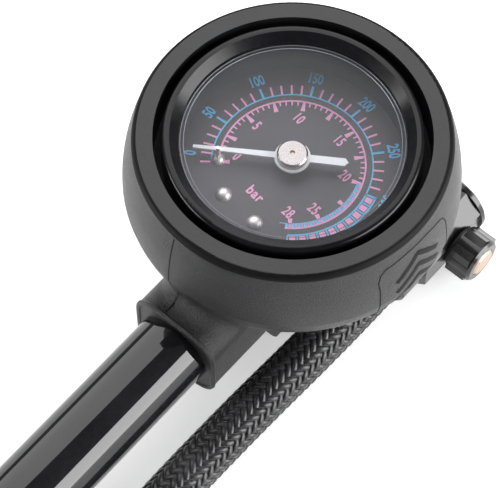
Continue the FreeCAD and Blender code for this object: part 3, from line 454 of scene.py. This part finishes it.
def figures(mark, text, radius, angle, turn, size=2.9, squeeze=0.66, spacing=1.0):
    """Narrow dial figures centred at a polar place and turned in the dial's plane."""
    verts, faces = mark
    curve = bpy.data.curves.new("figures", "FONT")
    curve.body = text
    curve.size = size
    curve.align_x = "CENTER"
    curve.align_y = "CENTER"
    curve.offset = 0.075
    curve.space_character = spacing
    curve.resolution_u = 4
    curve.extrude = (PRINT_HIGH - PRINT_LOW) / 2
    holder = bpy.data.objects.new("figures", curve)
    mesh = bpy.data.meshes.new_from_object(holder)
    x, y = polar(radius, angle)
    spot = (Matrix.Translation((x, y, (PRINT_LOW + PRINT_HIGH) / 2))
            @ Matrix.Rotation(math.radians(turn), 4, "Z")
            @ Matrix.Diagonal((squeeze, 1, 1, 1)))
    start = len(verts)
    verts.extend(spot @ vert.co for vert in mesh.vertices)
    faces.extend(tuple(start + index for index in face.vertices) for face in mesh.polygons)
    bpy.data.objects.remove(holder)
    bpy.data.meshes.remove(mesh)


blue, pink = ([], []), ([], [])
sector(blue, 14.15, 14.40, psi_angle(2), psi_angle(300))
for psi in range(0, 300, 10):
    major = psi and psi % 50 == 0
    width = 0.42 if major else 0.36
    tick(blue if major else pink, psi_angle(psi), 14.38, 16.45 if major else 16.25, width, width)
for psi in range(50, 350, 50):
    figures(blue, str(psi), FIGURE_RADIUS, psi_angle(psi), psi_angle(psi) - 90)
figures(blue, "0", FIGURE_RADIUS, 213.6, 213.6 - 90)
sector(blue, 14.15, 14.45, psi_angle(300), psi_angle(400))
sector(blue, 15.95, 16.30, psi_angle(300), psi_angle(400))
sector(blue, 14.15, 16.30, psi_angle(299), psi_angle(301))
for block in range(10):
    first = psi_angle(302 + block * 10)
    sector(pink, 14.55, 15.85, first, first - 4.2)
    tick(blue, first - 5.5, 14.4, 16.0, 0.30, 0.30)

sector(pink, 12.80, 13.12, bar_angle(0), bar_angle(27.9))
for half in range(56):
    bar = half / 2
    if half % 5:
        tick(pink, bar_angle(bar), 12.05, 12.85, 0.26, 0.30)
    else:
        tick(pink, bar_angle(bar), 11.0, 12.9, 0.85, 0.38)
sector(blue, 11.95, 12.10, bar_angle(20), bar_angle(28.4))
for half in range(40, 56):
    start = bar_angle(half / 2) - 1.0
    sector(blue, 12.08, 12.80, start, start - 2.9)
for text, radius, angle in (
        ("0", 9.9, 212.2), ("5", 9.95, 169.7), ("10", 9.4, 123.3), ("15", 9.55, 70.1),
        ("20", 9.5, 25.5), ("25", 9.85, -27.4), ("28", 9.85, -53.9)):
    figures(pink, text, radius, angle, DIAL_TURN, 2.75, 0.64, 1.12)
figures(pink, "bar", 8.95, -96.3, DIAL_TURN, 2.7, 0.85, 1.15)

ink_blue = textured("ink_blue", (0.12, 0.58, 0.92), (0.16, 0.64, 0.98), (0.4, 0.55), 3000, (0.05, 0.005))
ink_pink = textured("ink_pink", (1.0, 0.40, 0.66), (1.0, 0.48, 0.74), (0.4, 0.55), 3000, (0.05, 0.005))
piece("dial_print_blue", *blue, "head", "dial", [ink_blue], smooth=False)
piece("dial_print_pink", *pink, "head", "dial", [ink_pink], smooth=False)

# ---------------------------------------------------------------- boot details

tube_low, tube_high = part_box("barrel_tube")
AXIS_HEIGHT = (tube_low[2] + tube_high[2]) / 2 / MM
SEAM_X = -2.6
boot_mesh = bpy.data.objects["gauge_boot"].data
boot_tree = BVHTree.FromPolygons([vert.co / MM for vert in boot_mesh.vertices],
                                 [tuple(face.vertices) for face in boot_mesh.polygons])
# Near-black finish for painted shade: dark lines and bands that stand in for the shade in the boot's grooves,
# under its flange and along its moulded mark.
painted_shade_mat = textured("painted_line_shade", (0.003, 0.003, 0.003), (0.006, 0.006, 0.006), (0.5, 0.6), 2600,
                    (0.1, 0.02), Specular_IOR_Level=0.12)


OUTSIDE = 60


def on_boot(azimuth, height):
    """Point and outward normal of the boot's side, seen from the gauge's axis."""
    x, y = polar(OUTSIDE, azimuth)
    place, normal, _, _ = boot_tree.ray_cast(Vector((x, y, height)), Vector((-x, -y, 0)).normalized())
    return place, normal


RIB_SUNK = 0.3


def rib(verts, faces, spots, half_width, proud):
    """Raised line over the boot with a rounded top, through (point, normal) spots."""
    rings = []
    for index, (place, normal) in enumerate(spots):
        before = spots[max(index - 1, 0)][0]
        after = spots[min(index + 1, len(spots) - 1)][0]
        across = (after - before).normalized().cross(normal).normalized()
        ring = [place - normal * RIB_SUNK - across * half_width]
        for share in (-1.0, -0.7, 0.7, 1.0):
            lift = proud * (0.45 if abs(share) > 0.9 else 1.0)
            ring.append(place + normal * lift + across * (half_width * share))
        ring.append(place - normal * RIB_SUNK + across * half_width)
        rings.append(ring)
    strip(verts, faces, rings)


def fine_path(corners, step=0.5):
    """Points at most one step apart along straight runs of (azimuth, height) corners."""
    path = []
    for here, there in zip(corners, corners[1:]):
        reach = math.hypot((there[0] - here[0]) * 0.5, there[1] - here[1])
        count = max(1, int(reach / step))
        path += [(here[0] + (there[0] - here[0]) * k / count, here[1] + (there[1] - here[1]) * k / count)
                 for k in range(count)]
    return path + [corners[-1]]


# The raised panel's outline, as (azimuth in degrees, height in mm).
PANEL = [(-16.5, 43.0), (-7.0, 43.5), (3.0, 43.5), (10.5, 42.7), (12.8, 42.0), (14.1, 40.4), (14.1, 30.5),
         (12.9, 28.5), (9.5, 27.4), (-14.5, 27.4), (-17.8, 28.4), (-19.2, 30.5), (-19.3, 38.0), (-19.8, 40.4),
         (-18.6, 42.2), (-16.5, 43.0)]
verts, faces = [], []
# The dark lines along the panel's outline and the mould's parting line are painted shade for their grooves.
rib(verts, faces, [on_boot(*spot) for spot in fine_path(PANEL)], 0.13, 0.04)
seam = [boot_tree.ray_cast(Vector((SEAM_X, -80, 45.3 - 0.6 * step)), Vector((0, 1, 0)))[:2]
        for step in range(38)]
seam += [boot_tree.ray_cast(Vector((SEAM_X, -30.4 - 0.4 * step, 30)), Vector((0, 0, -1)))[:2]
         for step in range(4)]
rib(verts, faces, seam, 0.12, 0.03)
piece("boot_lines", verts, faces, "head", "boot", [painted_shade_mat])


def hoop(name, section, slot, mat, sides=128):
    """Closed ring about the gauge's axis; section is (radius, height) points."""
    verts, faces = [], []
    for side in range(sides):
        x, y = polar(1, 360 * side / sides)
        verts.extend((x * radius, y * radius, height) for radius, height in section)
    count = len(section)
    for side in range(sides):
        for corner in range(count):
            a, b = side * count + corner, side * count + (corner + 1) % count
            shift = count if side < sides - 1 else count * (1 - sides)
            faces.append((a, b, b + shift, a + shift))
    tidy_normals(piece(name, verts, faces, "head", slot, [mat]))


# Painted shade: a dark band on the neck where the flange's undercut is in shade.
hoop("boot_rim_band", [(27.2, 45.6), (28.06, 45.72), (28.02, 46.1), (27.62, 46.72), (27.2, 46.85)],
     "boot", painted_shade_mat)
# Painted reflection: two thin grey rings near the lens's rim stand in for the glints off its edge.
lens_glint_mat = textured("lens_edge_glint", (0.18, 0.18, 0.22), (0.26, 0.26, 0.30), (0.1, 0.2), 2000, (0.05, 0.01))
LENS_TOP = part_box("gauge_lens")[1][2] / MM
LENS_GLINT_RADII = (19.0, 19.62)
for number, radius in enumerate(LENS_GLINT_RADII):
    section = [(radius + 0.08 * math.cos(math.pi / 3 * k), LENS_TOP + 0.05 * math.sin(math.pi / 3 * k))
               for k in range(6)]
    hoop("lens_edge_%d" % number, section, "lens", lens_glint_mat)

HALF, CORNER = 8.75, 4.75
RIM_Y, RIM_RADIUS = -31.75, 0.55
rim = []
for side in range(4):
    for step in range(7):
        turn = math.pi / 2 * (side + step / 6)
        mid = math.pi / 2 * side + math.pi / 4
        x = round(math.copysign(1, math.cos(mid))) * (HALF - CORNER) + CORNER * math.cos(turn)
        z = round(math.copysign(1, math.sin(mid))) * (HALF - CORNER) + CORNER * math.sin(turn)
        rim.append(Vector((x, RIM_Y, AXIS_HEIGHT + z)))
rim_verts, rim_faces = [], []
for index, place in enumerate(rim):
    ahead = (rim[(index + 1) % len(rim)] - rim[index - 1]).normalized()
    outward = Vector((0, -1, 0)).cross(ahead)
    for corner in range(8):
        angle = math.pi / 4 * corner
        rim_verts.append(place + outward * (RIM_RADIUS * math.cos(angle))
                         + Vector((0, RIM_RADIUS * math.sin(angle), 0)))
for index in range(len(rim)):
    for corner in range(8):
        here, there = index * 8, (index + 1) % len(rim) * 8
        beside = (corner + 1) % 8
        rim_faces.append((here + corner, here + beside, there + beside, there + corner))
collar_rim = piece("boot_collar_rim", rim_verts, rim_faces, "head", "boot", [finishes["boot"]])
tidy_normals(collar_rim)

# Three chevrons over two short bars, flush with the boot so that they stay inside its width; their dark
# colour is painted shade for the shadowed edges of the moulded mark.
MARK_PROUD, MARK_MIDDLE = 0.04, -2.6
verts, faces = [], []
for low in (31.0, 34.2, 37.4):
    chevron = [(-12.5, low), (MARK_MIDDLE, low + 4.0), (7.3, low)]
    rib(verts, faces, [on_boot(*spot) for spot in fine_path(chevron)], 0.6, MARK_PROUD)
for side in (-1, 1):
    bar = [(MARK_MIDDLE + side * 4.0, 29.6), (MARK_MIDDLE + side * 10.5, 29.6)]
    rib(verts, faces, [on_boot(*spot) for spot in fine_path(bar)], 0.45, MARK_PROUD)
widest = cad_box[1][0] / MM
verts = [(min(x, widest), y, z) for x, y, z in verts]
chevrons = piece("boot_chevrons", verts, faces, "head", "boot", [painted_shade_mat])
tidy_normals(chevrons, 50)

# ---------------------------------------------------------------- handle grip and chuck sleeve

grip_low, grip_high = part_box("handle_grip")
GRIP_BACK, GRIP_FRONT = grip_low[1] / MM, grip_high[1] / MM
GRIP_RADIUS = grip_high[0] / MM
CORE_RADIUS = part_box("handle_core")[1][0] / MM
KNURL_BACK, KNURL_FRONT = 15, 11
KNURL_PITCH, KNURL_DEPTH, KNURL_COUNT, KNURL_ROW = 4.9, 0.85, 16, 0.45
FRONT_ROUND = 2.4


def knurl(y, angle):
    """Moulded diamonds between the grip's two rims."""
    edge = min(y - (GRIP_BACK + KNURL_BACK), GRIP_FRONT - KNURL_FRONT - y)
    if edge <= 0:
        return 0.0
    swirl = 2 * math.pi * y / KNURL_PITCH
    diamond = (1 + math.cos(KNURL_COUNT * angle + swirl)) * (1 + math.cos(KNURL_COUNT * angle - swirl)) / 4
    return KNURL_DEPTH * min(1.0, edge / 1.5) * math.sqrt(diamond)


profile = [(GRIP_FRONT, CORE_RADIUS)]
for step in range(9):
    turn = math.pi / 2 * step / 8
    profile.append((GRIP_FRONT - FRONT_ROUND + FRONT_ROUND * math.cos(turn),
                    GRIP_RADIUS - FRONT_ROUND + FRONT_ROUND * math.sin(turn)))
profile += [(GRIP_FRONT - 8.0, GRIP_RADIUS), (GRIP_FRONT - 9.0, GRIP_RADIUS - 0.7),
            (GRIP_FRONT - 10.0, GRIP_RADIUS - 1)]
knurled = GRIP_FRONT - KNURL_FRONT - GRIP_BACK - KNURL_BACK
rows = int(knurled / KNURL_ROW)
profile += [(GRIP_FRONT - KNURL_FRONT - knurled * row / rows, GRIP_RADIUS - 1.0) for row in range(rows + 1)]
profile += [(GRIP_BACK + 14, GRIP_RADIUS - 1.0), (GRIP_BACK + 12.2, GRIP_RADIUS - 0.1),
            (GRIP_BACK + 11, GRIP_RADIUS), (GRIP_BACK + 1.0, GRIP_RADIUS),
            (GRIP_BACK, GRIP_RADIUS - 0.6), (GRIP_BACK, CORE_RADIUS)]
grip = turned("handle_grip_ribbed", (0, AXIS_HEIGHT), profile, "handle", "grip", finishes["grip"],
              128, knurl)
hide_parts("handle_grip")

sleeve_low, sleeve_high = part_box("chuck_sleeve")
MOUTH = sleeve_low[1] / MM
SLEEVE_RADIUS = (sleeve_high[2] - sleeve_low[2]) / 2 / MM
SLEEVE_AXIS = ((sleeve_low[0] + sleeve_high[0]) / 2 / MM, (sleeve_low[2] + sleeve_high[2]) / 2 / MM)


FLUTE_START, FLUTE_END = 1.0, 14.0
FLUTE_DEPTH, FLUTE_COUNT, FLUTE_ROW = 0.55, 24, 0.4


def flutes(y, angle):
    """Finger grooves around the sleeve."""
    edge = min(y - MOUTH - FLUTE_START, MOUTH + FLUTE_END - y)
    if edge <= 0:
        return 0.0
    return -FLUTE_DEPTH * min(1.0, edge / 0.8) * (0.5 + 0.5 * math.cos(FLUTE_COUNT * angle)) ** 0.6


profile = [(MOUTH, 3.85), (MOUTH, SLEEVE_RADIUS - 1.0), (MOUTH + 0.4, SLEEVE_RADIUS - 0.5),
           (MOUTH + FLUTE_START, SLEEVE_RADIUS)]
profile += [(MOUTH + FLUTE_START + FLUTE_ROW * row, SLEEVE_RADIUS) for row in range(1, 33)]
profile += [(MOUTH + 14.2, SLEEVE_RADIUS), (MOUTH + 15.0, 5.8), (MOUTH + 17.0, 5.8), (MOUTH + 18.5, 5.4),
            (MOUTH + 18.5, 3.7), (MOUTH + 12.5, 3.7), (MOUTH + 12.5, 4.6), (MOUTH + 7.4, 4.6),
            (MOUTH + 7.4, 3.85)]
sleeve = turned("chuck_sleeve_fluted", SLEEVE_AXIS, profile, "sleeve", "alloy", finishes["alloy"],
                144, flutes)
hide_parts("chuck_sleeve")

# ---------------------------------------------------------------- springs copied from the CAD parts


def shortening(label):
    """Copy of a CAD spring, fixed to the head, with the CAD part hidden."""
    source = bpy.data.objects[label]
    verts = [source.matrix_world @ vert.co / MM for vert in source.data.vertices]
    faces = [tuple(face.vertices) for face in source.data.polygons]
    spring = piece(label + "_shape", verts, faces, "head", "steel", [finishes["steel"]], False)
    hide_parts(label)
    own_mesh(spring)


shortening("bleed_spring")
shortening("check_spring")

# ---------------------------------------------------------------- floor, lights and camera

AIM = Vector((0, 0, 0.03))


def area_light(name, direction, distance, width, height, power):
    """White rectangle of light, facing the head of the pump."""
    data = bpy.data.lights.new(name, "AREA")
    data.shape = "RECTANGLE"
    data.size = width
    data.size_y = height
    data.energy = power
    lamp = bpy.data.objects.new(name, data)
    lamp.location = AIM + Vector(direction).normalized() * distance
    lamp.rotation_euler = (AIM - lamp.location).to_track_quat("-Z", "Y").to_euler()
    bpy.context.collection.objects.link(lamp)


area_light("soft_top", (-0.55, 0.42, 0.75), 1.0, 1.5, 1.3, 14.5)
area_light("side_card", (0.88, 0.36, 0.30), 0.7, 0.7, 0.45, 8.5)
area_light("left_fill", (-0.66, -0.75, 0.20), 1.0, 0.6, 0.4, 7.5)

HORIZON_LIGHT, ZENITH_LIGHT = 0.22, 0.12
world = bpy.data.worlds.new("studio")
world.use_nodes = True
sky = world.node_tree.nodes
sky["Background"].inputs["Color"].default_value = (0.97, 0.98, 1.0, 1)
height = sky.new("ShaderNodeSeparateXYZ")
fade = sky.new("ShaderNodeMapRange")
fade.inputs["To Min"].default_value = HORIZON_LIGHT
fade.inputs["To Max"].default_value = ZENITH_LIGHT
world.node_tree.links.new(sky.new("ShaderNodeTexCoord").outputs["Generated"], height.inputs["Vector"])
world.node_tree.links.new(height.outputs["Z"], fade.inputs["Value"])
world.node_tree.links.new(fade.outputs["Result"], sky["Background"].inputs["Strength"])
bpy.context.scene.world = world
bpy.context.scene.view_settings.view_transform = "Standard"

# The floor gives off a little light of its own, so that the ground comes out white.
floor_mat = textured("floor_paper", (0.90, 0.90, 0.90), (0.93, 0.93, 0.93), (0.85, 0.95), 400,
                     (0.05, 0.05), mottle=6, Emission_Color=(1, 1, 1, 1), Emission_Strength=0.42)
floor_mesh = bpy.data.meshes.new("floor")
floor_mesh.from_pydata([(-2, -2, 0), (2, -2, 0), (2, 2, 0), (-2, 2, 0)], [], [(0, 1, 2, 3)])
floor_mesh.materials.append(floor_mat)
floor = bpy.data.objects.new("floor", floor_mesh)
floor.location.z = -0.0001
bpy.context.collection.objects.link(floor)

# The photograph's camera, fitted to the outlines on it.
AZIMUTH, ELEVATION = math.radians(40.788), math.radians(61.861)
toward = Vector((math.sin(AZIMUTH) * math.cos(ELEVATION), -math.cos(AZIMUTH) * math.cos(ELEVATION),
                 math.sin(ELEVATION)))
right = Vector((math.cos(AZIMUTH), math.sin(AZIMUTH), 0))
lens_data = bpy.data.cameras.new("camera")
lens_data.sensor_width = 36
lens_data.lens = 174.75
lens_data.clip_start = 0.01
camera = bpy.data.objects.new("camera", lens_data)
place = Vector((0.13420, -0.16691, 0.40728))
turned_to = Matrix((right, toward.cross(right), toward)).transposed().to_4x4()
camera.matrix_world = Matrix.Translation(place) @ turned_to
bpy.context.collection.objects.link(camera)
bpy.context.scene.camera = camera
